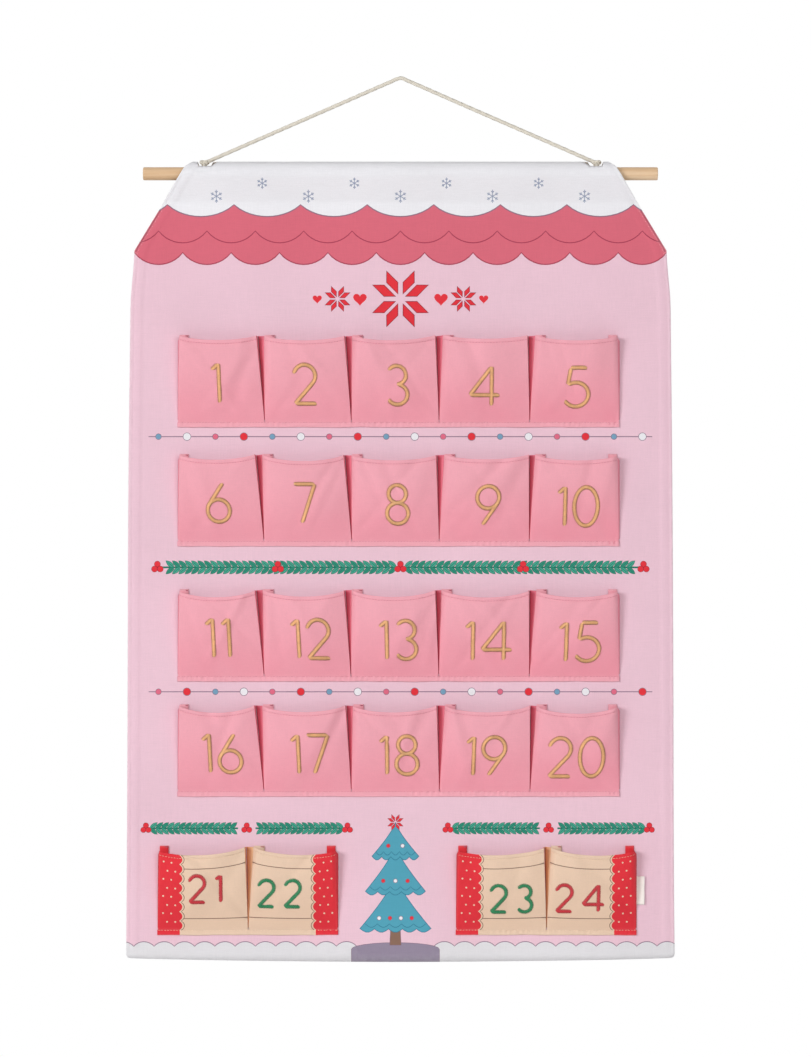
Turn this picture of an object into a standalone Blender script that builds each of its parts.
"""Cloth advent calendar: a house-shaped banner with twenty-four pockets, hung from a dowel by a cord.

Metres, +Z up, and the front faces -Y. The origin is where a nail carries the cord, at the underside of its
apex. The dowel's axis and the hanging cloth lie in the plane y = 0.
"""

import math

import bmesh
import bpy
from mathutils import Matrix, Vector

# Space between neighbouring pieces
GAP = 0.0003

# Dowel
DOWEL_DIAMETER = 0.012
DOWEL_LENGTH = 0.470
DOWEL_BEVEL = 0.0008
DOWEL_DROP = 0.0856
DOWEL_SIDES = 32

# Hanging cord: its route runs from knot to knot over the nail, and is smoothed in steps between its points
CORD_DIAMETER = 0.0036
CORD_ROUTE = [
    (-0.1790, 0.0, -0.0759),
    (-0.1250, 0.0, -0.0523),
    (-0.0800, 0.0, -0.0327),
    (-0.0450, 0.0, -0.0174),
    (-0.0220, 0.0, -0.0073),
    (-0.0100, 0.0, -0.0021),
    (-0.0040, 0.0, 0.0006),
    (0.0, 0.0, 0.0018),
    (0.0040, 0.0, 0.0006),
    (0.0100, 0.0, -0.0021),
    (0.0220, 0.0, -0.0073),
    (0.0450, 0.0, -0.0174),
    (0.0800, 0.0, -0.0327),
    (0.1250, 0.0, -0.0523),
    (0.1790, 0.0, -0.0759),
]
CORD_STEPS = 4
CORD_BEVEL_RESOLUTION = 2
KNOT_WIDTH = 0.0095
KNOT_DEPTH = 0.0080
KNOT_HEIGHT = 0.0068
LOOP_STEPS = 36
LOOP_SIDES = 10

# Cloth
PANEL_CLOTH = 0.0010
LINING_CLOTH = 0.0008
POCKET_CLOTH = 0.0010
PLEAT_CLOTH = 0.0008

# Outline of the banner, from the top of the sleeve to the hem
TOP_WIDTH = 0.387
EAVE_WIDTH = 0.486
HEM_WIDTH = 0.501
ROOF_HEIGHT = 0.0814
CORNER_RADIUS = 0.004
CORNER_STEPS = 5

# Sleeve: the cloths part above its seam and go round the dowel
SLEEVE_SEAM_DROP = 0.026
SLEEVE_SEAM_BAND = 0.004
SLEEVE_STEPS = 28
NOTCH_OUTWARD_REACH = 0.0058
NOTCH_INWARD_REACH = 0.0092
NOTCH_BACK_ANGLE = math.radians(27)
NOTCH_FRONT_ANGLE = math.radians(57)
NOTCH_STEPS = 12
CUTTER_OVERRUN = 0.004

# Heights between the rows, from the eave down
EAVE_TO_ROW_1 = 0.0773
ROW_1_TO_ROW_2 = 0.0247
ROW_2_TO_ROW_3 = 0.0394
ROW_3_TO_ROW_4 = 0.0211
ROW_4_TO_LOWER_STRIPS = 0.0451
LOWER_STRIPS_TO_HEM = 0.0211

# Pocket strips: a strip's height runs from its mouth's corners to its lower edge, past the bottom seam
ROW_STRIP_HEIGHT = 0.0840
LOWER_STRIP_HEIGHT = 0.0813
STRIP_HEM = 0.0045
ROW_PITCH = 0.0806
LOWER_PITCH = 0.0822
POCKETS_PER_ROW = 5
POCKETS_PER_LOWER_STRIP = 2
ROW_CENTRE = -0.0018
LEFT_LOWER_CENTRE = -0.1394
RIGHT_LOWER_CENTRE = 0.1330

# Pocket fronts: they stand off the panel at the mouth, bow forwards and sag between their corners. The pleats
# between them are pressed to the left, so that at the mouth their gaps lean that way
MOUTH_STANDOFF = 0.010
MOUTH_BOW = 0.003
MOUTH_SAG = 0.006
PLEAT_GAP_AT_SEAM = 0.0006
PLEAT_GAP_AT_MOUTH = 0.0037
PLEAT_LEAN = 0.003
POCKET_COLUMNS = 8
POCKET_ROWS = 4

# Pleats start this far above the bottom seam, where the pocket has opened enough to hold them
PLEAT_START = 0.012

# Tab sewn in at the right end of the last strip
LABEL_WIDTH = 0.0075
LABEL_HEIGHT = 0.026
LABEL_CLOTH = 0.0006
LABEL_DROP = 0.0275
LABEL_BEVEL = 0.0001

# Distances that follow from the sizes above
DOWEL_RADIUS = DOWEL_DIAMETER / 2
CORD_RADIUS = CORD_DIAMETER / 2
DOWEL_Z = -DOWEL_DROP
LOOP_RADIUS = DOWEL_RADIUS + GAP + CORD_RADIUS
KNOT_Z = DOWEL_Z + DOWEL_RADIUS + GAP + KNOT_HEIGHT / 2
KNOT_X = CORD_ROUTE[-1][0]
SLEEVE_INNER_RADIUS = LOOP_RADIUS + CORD_RADIUS + GAP
SLEEVE_OUTER_RADIUS = SLEEVE_INNER_RADIUS + LINING_CLOTH
SLEEVE_TOP_Z = DOWEL_Z + SLEEVE_OUTER_RADIUS
SLEEVE_SEAM_Z = DOWEL_Z - SLEEVE_SEAM_DROP
EAVE_Z = SLEEVE_TOP_Z - ROOF_HEIGHT
PANEL_BACK_Y = -GAP / 2
PANEL_FRONT_Y = PANEL_BACK_Y - PANEL_CLOTH
LINING_FRONT_Y = GAP / 2
STRIP_BACK_Y = PANEL_FRONT_Y - GAP
ROW_1_TOP_Z = EAVE_Z - EAVE_TO_ROW_1
ROW_2_TOP_Z = ROW_1_TOP_Z - ROW_STRIP_HEIGHT - ROW_1_TO_ROW_2
ROW_3_TOP_Z = ROW_2_TOP_Z - ROW_STRIP_HEIGHT - ROW_2_TO_ROW_3
ROW_4_TOP_Z = ROW_3_TOP_Z - ROW_STRIP_HEIGHT - ROW_3_TO_ROW_4
LOWER_TOP_Z = ROW_4_TOP_Z - ROW_STRIP_HEIGHT - ROW_4_TO_LOWER_STRIPS
HEM_Z = LOWER_TOP_Z - LOWER_STRIP_HEIGHT - LOWER_STRIPS_TO_HEM

# Colours, as linear RGB
PANEL_PINK = (0.78, 0.53, 0.66)
ROOF_ROSE = (0.70, 0.15, 0.20)
LINING_CREAM = (0.86, 0.82, 0.74)
POCKET_PINK = (0.86, 0.35, 0.45)
POCKET_CREAM = (0.84, 0.65, 0.46)
PLEAT_RED = (0.32, 0.04, 0.06)
PLEAT_TAN = (0.50, 0.30, 0.20)
DOWEL_BEECH = (0.73, 0.50, 0.28)
CORD_COTTON = (0.68, 0.62, 0.54)
LABEL_WHITE = (0.85, 0.85, 0.84)


def clear_scene():
    """Remove whatever the file holds, so that only the calendar is left."""
    for obj in list(bpy.data.objects):
        bpy.data.objects.remove(obj)


def make_material(name, colour, roughness):
    """A plain Principled material, with no metal in it."""
    material = bpy.data.materials.new(name)
    material.use_nodes = True
    shader = material.node_tree.nodes["Principled BSDF"]
    shader.inputs["Base Color"].default_value = (*colour, 1.0)
    shader.inputs["Roughness"].default_value = roughness
    shader.inputs["Metallic"].default_value = 0.0
    return material


def make_materials():
    """Every material of the calendar, by the name of what it covers."""
    return {
        "panel": make_material("panel_cotton", PANEL_PINK, 0.9),
        "sleeve": make_material("sleeve_cotton", ROOF_ROSE, 0.9),
        "lining": make_material("lining_cotton", LINING_CREAM, 0.9),
        "pocket": make_material("pocket_cotton", POCKET_PINK, 0.9),
        "lower": make_material("lower_cotton", POCKET_CREAM, 0.9),
        "pocket_pleat": make_material("pocket_pleat_cotton", PLEAT_RED, 0.9),
        "lower_pleat": make_material("lower_pleat_cotton", PLEAT_TAN, 0.9),
        "dowel": make_material("dowel_wood", DOWEL_BEECH, 0.5),
        "cord": make_material("cord_cotton", CORD_COTTON, 0.9),
        "label": make_material("label_tape", LABEL_WHITE, 0.7),
    }


def add_empty(name, location):
    """An empty that carries the pieces which move together."""
    empty = bpy.data.objects.new(name, None)
    empty.location = location
    bpy.context.scene.collection.objects.link(empty)
    return empty


def add_object(name, mesh, material, parent, location=(0.0, 0.0, 0.0)):
    """An object at a place in its parent's frame."""
    obj = bpy.data.objects.new(name, mesh)
    if not mesh.materials:
        mesh.materials.append(material)
    bpy.context.scene.collection.objects.link(obj)
    obj.parent = parent
    obj.location = location
    return obj


def mesh_from_bmesh(name, bm, smooth_angle=None):
    """A mesh with its faces turned outwards, shaded smooth across edges flatter than smooth_angle."""
    bmesh.ops.recalc_face_normals(bm, faces=bm.faces)
    mesh = bpy.data.meshes.new(name)
    bm.to_mesh(mesh)
    bm.free()
    if smooth_angle is not None:
        mesh.shade_smooth()
        mesh.set_sharp_from_angle(angle=smooth_angle)
    return mesh


def add_helper(name, mesh):
    """A hidden object that a Boolean reads."""
    helper = bpy.data.objects.new(name, mesh)
    bpy.context.scene.collection.objects.link(helper)
    helper.hide_render = True
    helper.display_type = "WIRE"
    return helper


def add_boolean(obj, helper, operation):
    """An exact Boolean with a helper, which follows the object that it works on."""
    helper.parent = obj.parent
    modifier = obj.modifiers.new(helper.name, "BOOLEAN")
    modifier.operation = operation
    modifier.solver = "EXACT"
    modifier.object = helper


def mix(start, end, share):
    """The value this share of the way from start to end."""
    return start + (end - start) * share


def prism(outline, direction):
    """A bmesh of a flat outline pushed along a direction."""
    bm = bmesh.new()
    face = bm.faces.new([bm.verts.new(point) for point in outline])
    pushed = bmesh.ops.extrude_face_region(bm, geom=[face])
    corners = [item for item in pushed["geom"] if isinstance(item, bmesh.types.BMVert)]
    bmesh.ops.translate(bm, verts=corners, vec=direction)
    return bm


# Banner cloths


def banner_half_width(z):
    """Half the banner's width at a height: the roof widens fast to the eave, and the wall below it slowly."""
    if z > EAVE_Z:
        return mix(TOP_WIDTH, EAVE_WIDTH, (SLEEVE_TOP_Z - z) / ROOF_HEIGHT) / 2
    return mix(EAVE_WIDTH, HEM_WIDTH, (EAVE_Z - z) / (EAVE_Z - HEM_Z)) / 2


def banner_outline():
    """The outline below the sleeve as (x, z) points: down the right side, round the hem and up the left."""
    shoulder_z = SLEEVE_SEAM_Z - GAP
    corner_x = HEM_WIDTH / 2 - CORNER_RADIUS
    corner_z = HEM_Z + CORNER_RADIUS
    right = [(banner_half_width(shoulder_z), shoulder_z), (EAVE_WIDTH / 2, EAVE_Z)]
    for step in range(CORNER_STEPS + 1):
        angle = -math.pi / 2 * step / CORNER_STEPS
        right.append((corner_x + CORNER_RADIUS * math.cos(angle), corner_z + CORNER_RADIUS * math.sin(angle)))
    return right + [(-x, z) for x, z in reversed(right)]


def add_cloth_plate(name, front_y, thickness, material, banner):
    """A flat cloth with the banner's outline, its front at front_y."""
    outline = [(x, front_y, z - DOWEL_Z) for x, z in banner_outline()]
    mesh = mesh_from_bmesh(name, prism(outline, (0.0, thickness, 0.0)))
    return add_object(name, mesh, material, banner)


def sleeve_profiles():
    """The sleeve's outer and inner profiles about the dowel's axis, as (y, z) points from back to front.

    Both follow the loops of cord round the dowel. Below them the cloths run straight to the top of the seam
    band, where their outer faces are the banner's thickness apart, and meet inside it.
    """
    half_seam = GAP / 2 + (PANEL_CLOTH + LINING_CLOTH) / 2
    band_top = SLEEVE_SEAM_DROP - SLEEVE_SEAM_BAND
    reach = math.hypot(half_seam, band_top)
    below = math.asin(SLEEVE_OUTER_RADIUS / reach) - math.atan2(half_seam, band_top)
    angles = [mix(-below, math.pi + below, step / SLEEVE_STEPS) for step in range(SLEEVE_STEPS + 1)]
    outer = [(SLEEVE_OUTER_RADIUS * math.cos(a), SLEEVE_OUTER_RADIUS * math.sin(a)) for a in angles]
    inner = [(SLEEVE_INNER_RADIUS * math.cos(a), SLEEVE_INNER_RADIUS * math.sin(a)) for a in angles]
    inner_meeting = (0.0, -SLEEVE_INNER_RADIUS / math.sin(below))
    band = [(half_seam, -band_top), (half_seam, -SLEEVE_SEAM_DROP)]
    return outer, inner, inner_meeting, band


def add_sleeve(material, banner):
    """The cloth tube round the dowel: its ends follow the banner's slanting sides."""
    outer, inner, inner_meeting, band = sleeve_profiles()
    front_band = [(-y, z) for y, z in band]
    outer_loop = list(reversed(band)) + outer + front_band
    inner_loop = [inner_meeting] + inner
    bm = bmesh.new()
    sides = []
    for side in (-1, 1):
        sides.append(
            [
                [bm.verts.new((side * banner_half_width(z + DOWEL_Z), y, z)) for y, z in loop]
                for loop in (outer_loop, inner_loop)
            ]
        )
    for left, right in zip(*sides):
        for i in range(len(left)):
            j = (i + 1) % len(left)
            bm.faces.new((left[i], left[j], right[j], right[i]))
    for outer_verts, inner_verts in sides:
        meeting = inner_verts[0]
        first, last = outer_verts[1], outer_verts[-2]
        bm.faces.new((outer_verts[0], first, meeting, last, outer_verts[-1]))
        bm.faces.new((first, outer_verts[2], inner_verts[1], meeting))
        bm.faces.new((last, outer_verts[-3], inner_verts[-1], meeting))
        for i in range(SLEEVE_STEPS):
            bm.faces.new((outer_verts[i + 2], outer_verts[i + 3], inner_verts[i + 2], inner_verts[i + 1]))
    mesh = mesh_from_bmesh("dowel_sleeve", bm, math.radians(30))
    sleeve = add_object("dowel_sleeve", mesh, material, banner)
    for name, side in (("left_notch", -1), ("right_notch", 1)):
        add_boolean(sleeve, add_notch_cutter(name, side), "DIFFERENCE")
    return sleeve


def add_notch_cutter(name, side):
    """A sector about the dowel's axis, which leaves the knot room at rest and while the banner swings.

    It reaches further inwards, where the cord rises over the sleeve, than outwards.
    """
    radius = SLEEVE_OUTER_RADIUS + CUTTER_OVERRUN
    outer_x = side * (KNOT_X + NOTCH_OUTWARD_REACH)
    outline = [(outer_x, 0.0, 0.0)]
    for step in range(NOTCH_STEPS + 1):
        angle = mix(-NOTCH_BACK_ANGLE, NOTCH_FRONT_ANGLE, step / NOTCH_STEPS)
        outline.append((outer_x, -radius * math.sin(angle), radius * math.cos(angle)))
    inwards = (-side * (NOTCH_OUTWARD_REACH + NOTCH_INWARD_REACH), 0.0, 0.0)
    return add_helper(name, mesh_from_bmesh(name, prism(outline, inwards)))


# Dowel and cord


def add_dowel(material):
    """A round stick along X with eased ends, its origin at its middle."""
    bm = bmesh.new()
    bmesh.ops.create_cone(
        bm,
        cap_ends=True,
        segments=DOWEL_SIDES,
        radius1=DOWEL_RADIUS,
        radius2=DOWEL_RADIUS,
        depth=DOWEL_LENGTH,
        matrix=Matrix.Rotation(math.pi / 2, 4, "Y"),
    )
    dowel = add_object("dowel", mesh_from_bmesh("dowel", bm, math.radians(40)), material, None)
    dowel.location = (0.0, 0.0, DOWEL_Z)
    bevel = dowel.modifiers.new("eased_ends", "BEVEL")
    bevel.width = DOWEL_BEVEL
    bevel.segments = 2
    bevel.limit_method = "ANGLE"
    bevel.angle_limit = math.radians(60)
    return dowel


def smooth_route(route, steps):
    """Points along a smooth curve through the route, this many steps from each of its points to the next."""
    points = [Vector(point) for point in route]
    ends = [2 * points[0] - points[1], *points, 2 * points[-1] - points[-2]]
    smooth = []
    for before, start, end, after in zip(ends, ends[1:], ends[2:], ends[3:]):
        for step in range(steps):
            t = step / steps
            linear = (end - before) * t
            square = (2 * before - 5 * start + 4 * end - after) * t**2
            cube = (3 * start - before - 3 * end + after) * t**3
            smooth.append(start + (linear + square + cube) / 2)
    return smooth + [points[-1]]


def cord_mesh():
    """A mesh of the cord's V, made by a round bevel along its route."""
    curve = bpy.data.curves.new("cord_route", "CURVE")
    curve.dimensions = "3D"
    curve.bevel_depth = CORD_RADIUS
    curve.bevel_resolution = CORD_BEVEL_RESOLUTION
    curve.use_fill_caps = True
    spline = curve.splines.new("POLY")
    points = smooth_route(CORD_ROUTE, CORD_STEPS)
    spline.points.add(len(points) - 1)
    for spline_point, point in zip(spline.points, points):
        spline_point.co = (*point, 1.0)
    guide = add_helper("cord_route", curve)
    bpy.context.view_layer.update()
    evaluated = guide.evaluated_get(bpy.context.evaluated_depsgraph_get())
    bm = bmesh.new()
    bm.from_mesh(evaluated.to_mesh())
    evaluated.to_mesh_clear()
    bmesh.ops.remove_doubles(bm, verts=bm.verts, dist=GAP / 100)
    bpy.data.objects.remove(guide)
    return mesh_from_bmesh("hanging_cord", bm, math.radians(50))


def loop_mesh():
    """A ring of cord round the dowel, in the plane across it."""
    bm = bmesh.new()
    circle = []
    for side in range(LOOP_SIDES):
        angle = 2 * math.pi * side / LOOP_SIDES
        across = CORD_RADIUS * math.sin(angle)
        outward = LOOP_RADIUS + CORD_RADIUS * math.cos(angle)
        circle.append(bm.verts.new((across, 0.0, outward)))
    edges = [bm.edges.new((circle[i], circle[(i + 1) % LOOP_SIDES])) for i in range(LOOP_SIDES)]
    bmesh.ops.spin(
        bm,
        geom=circle + edges,
        cent=(0.0, 0.0, 0.0),
        axis=(1.0, 0.0, 0.0),
        angle=2 * math.pi,
        steps=LOOP_STEPS,
        use_merge=True,
    )
    return mesh_from_bmesh("cord_loop", bm)


def knot_mesh():
    """The overhand knot that draws the loop tight, as a flattened ball."""
    bm = bmesh.new()
    size = Matrix.Diagonal((KNOT_WIDTH / 2, KNOT_DEPTH / 2, KNOT_HEIGHT / 2, 1.0))
    bmesh.ops.create_uvsphere(bm, u_segments=16, v_segments=10, radius=1.0, matrix=size)
    return mesh_from_bmesh("cord_knot", bm)


def add_cord(material):
    """One length of cord: a loop and a knot at each end of the dowel, and a V over the nail."""
    cord = add_object("hanging_cord", cord_mesh(), material, None)
    loop = loop_mesh()
    knot = knot_mesh()
    for side, x in (("left", -KNOT_X), ("right", KNOT_X)):
        loop_helper = add_helper(f"{side}_loop", loop)
        loop_helper.location = (x, 0.0, DOWEL_Z)
        add_boolean(cord, loop_helper, "UNION")
        knot_helper = add_helper(f"{side}_knot", knot)
        knot_helper.location = (x, 0.0, KNOT_Z)
        add_boolean(cord, knot_helper, "UNION")
    return cord


# Pocket strips


def pleat_gap(share):
    """The space between two pocket fronts at a share of the way up from the bottom seam."""
    return mix(PLEAT_GAP_AT_SEAM, PLEAT_GAP_AT_MOUTH, share)


def pocket_mesh(name, pitch, height, left_lean, right_lean):
    """The back face of a pocket's front, about the middle of its bottom seam."""
    bm = bmesh.new()
    grid = []
    for row in range(POCKET_ROWS + 1):
        up = row / POCKET_ROWS
        edge = (pitch - pleat_gap(up)) / 2
        line = []
        for column in range(POCKET_COLUMNS + 1):
            across = column / POCKET_COLUMNS
            middle = 4 * across * (1 - across)
            x = mix(-edge - left_lean * up, edge - right_lean * up, across)
            standoff = up * (MOUTH_STANDOFF + MOUTH_BOW * middle)
            rise = up * (height - MOUTH_SAG * middle)
            line.append(bm.verts.new((x, -standoff, rise)))
        grid.append(line)
    for lower, upper in zip(grid, grid[1:]):
        for i in range(POCKET_COLUMNS):
            bm.faces.new((lower[i], lower[i + 1], upper[i + 1], upper[i]))
    mesh = bpy.data.meshes.new(name)
    bm.to_mesh(mesh)
    bm.free()
    mesh.shade_smooth()
    return mesh


def add_pocket(number, mesh, seam_point, material, banner):
    """A pocket's front, its origin on the bottom seam that it opens about, thickened forwards."""
    x, z = seam_point
    front = add_object(f"pocket_{number:02d}_front", mesh, material, banner, (x, STRIP_BACK_Y, z - DOWEL_Z))
    thickness = front.modifiers.new("cloth", "SOLIDIFY")
    thickness.thickness = POCKET_CLOTH
    thickness.offset = 1.0
    return front


def inner_pleat_section(share):
    """The outline of a pleat between two pockets, as (x, y) points about its fold on the panel.

    The cloth runs back from one front's edge to the panel, and forward again to the next front's edge. Share
    is how far up from the bottom seam the outline lies.
    """
    front_y = GAP - share * MOUTH_STANDOFF
    lean = share * PLEAT_LEAN
    edge = pleat_gap(share) / 2
    outside = edge + PLEAT_CLOTH
    bottom_y = max(-PLEAT_CLOTH, front_y / 2)
    return [
        (PLEAT_CLOTH, 0.0),
        (outside - lean, front_y),
        (edge - lean, front_y),
        (-lean * bottom_y / front_y, bottom_y),
        (-edge - lean, front_y),
        (-outside - lean, front_y),
        (-PLEAT_CLOTH, 0.0),
    ]


def end_pleat_section(share, side):
    """The outline of the one wall that closes a strip at its left (-1) or right (1) end."""
    front_y = GAP - share * MOUTH_STANDOFF
    outer_x = -side * pleat_gap(share) / 2
    inner_x = outer_x - side * PLEAT_CLOTH
    return [(outer_x, 0.0), (inner_x, 0.0), (inner_x, front_y), (outer_x, front_y)]


def pleat_mesh(name, height, section):
    """A pleat from its start above the bottom seam to the mouth's corners, with its outline from section."""
    bm = bmesh.new()
    loops = []
    for share in (PLEAT_START / height, 1.0):
        loops.append([bm.verts.new((x, y, share * height)) for x, y in section(share)])
    lower, upper = loops
    for i in range(len(lower)):
        j = (i + 1) % len(lower)
        bm.faces.new((lower[i], lower[j], upper[j], upper[i]))
    bm.faces.new(lower)
    bm.faces.new(upper)
    return mesh_from_bmesh(name, bm)


def add_strips(kind, pitch, strip_height, count, places, materials, banner):
    """The pockets and pleats of one kind of strip, which share their meshes.

    Places gives each strip's first pocket number, the x of its middle and the z of its mouths.
    """
    height = strip_height - STRIP_HEM
    first_pocket = pocket_mesh(f"{kind}_first_pocket", pitch, height, 0.0, PLEAT_LEAN)
    middle_pocket = pocket_mesh(f"{kind}_middle_pocket", pitch, height, PLEAT_LEAN, PLEAT_LEAN)
    last_pocket = pocket_mesh(f"{kind}_last_pocket", pitch, height, PLEAT_LEAN, 0.0)
    inner = pleat_mesh(f"{kind}_pleat", height, inner_pleat_section)
    left = pleat_mesh(f"{kind}_left_pleat", height, lambda share: end_pleat_section(share, -1))
    right = pleat_mesh(f"{kind}_right_pleat", height, lambda share: end_pleat_section(share, 1))
    cloth = materials[kind]
    lining = materials[f"{kind}_pleat"]
    for first, centre, top_z in places:
        last = first + count - 1
        seam_z = top_z - height
        folds = [centre + pitch * (i - count / 2) for i in range(count + 1)]
        pockets = [first_pocket] + [middle_pocket] * (count - 2) + [last_pocket]
        for number, pocket, fold in zip(range(first, last + 1), pockets, folds):
            add_pocket(number, pocket, (fold + pitch / 2, seam_z), cloth, banner)
        for number, fold in zip(range(first, last), folds[1:]):
            add_seamed(f"pleat_{number:02d}_{number + 1:02d}", inner, (fold, seam_z), lining, banner)
        add_seamed(f"pleat_{first:02d}_left", left, (folds[0], seam_z), lining, banner)
        add_seamed(f"pleat_{last:02d}_right", right, (folds[-1], seam_z), lining, banner)


def add_seamed(name, mesh, point, material, banner):
    """A piece sewn to the front cloth at an (x, z) point."""
    x, z = point
    return add_object(name, mesh, material, banner, (x, STRIP_BACK_Y, z - DOWEL_Z))


def add_label(material, banner):
    """The blank tab, which lies flat on the panel beside the last pocket."""
    outline = [
        (0.0, 0.0, 0.0),
        (LABEL_WIDTH, 0.0, 0.0),
        (LABEL_WIDTH, 0.0, -LABEL_HEIGHT),
        (0.0, 0.0, -LABEL_HEIGHT),
    ]
    mesh = mesh_from_bmesh("side_label", prism(outline, (0.0, -LABEL_CLOTH, 0.0)))
    sewn_x = RIGHT_LOWER_CENTRE + LOWER_PITCH * POCKETS_PER_LOWER_STRIP / 2
    label = add_seamed("side_label", mesh, (sewn_x, LOWER_TOP_Z - LABEL_DROP), material, banner)
    bevel = label.modifiers.new("soft_edges", "BEVEL")
    bevel.width = LABEL_BEVEL
    bevel.segments = 1
    return label


def build():
    """The whole calendar."""
    clear_scene()
    materials = make_materials()
    banner = add_empty("banner_swing", (0.0, 0.0, DOWEL_Z))
    add_cloth_plate("front_panel", PANEL_FRONT_Y, PANEL_CLOTH, materials["panel"], banner)
    add_cloth_plate("back_lining", LINING_FRONT_Y, LINING_CLOTH, materials["lining"], banner)
    add_sleeve(materials["sleeve"], banner)
    add_dowel(materials["dowel"])
    add_cord(materials["cord"])
    row_tops = (ROW_1_TOP_Z, ROW_2_TOP_Z, ROW_3_TOP_Z, ROW_4_TOP_Z)
    rows = [(1 + i * POCKETS_PER_ROW, ROW_CENTRE, top_z) for i, top_z in enumerate(row_tops)]
    add_strips("pocket", ROW_PITCH, ROW_STRIP_HEIGHT, POCKETS_PER_ROW, rows, materials, banner)
    first = 1 + len(rows) * POCKETS_PER_ROW
    lower_strips = [
        (first, LEFT_LOWER_CENTRE, LOWER_TOP_Z),
        (first + POCKETS_PER_LOWER_STRIP, RIGHT_LOWER_CENTRE, LOWER_TOP_Z),
    ]
    add_strips(
        "lower", LOWER_PITCH, LOWER_STRIP_HEIGHT, POCKETS_PER_LOWER_STRIP, lower_strips, materials, banner
    )
    add_label(materials["label"], banner)


build()
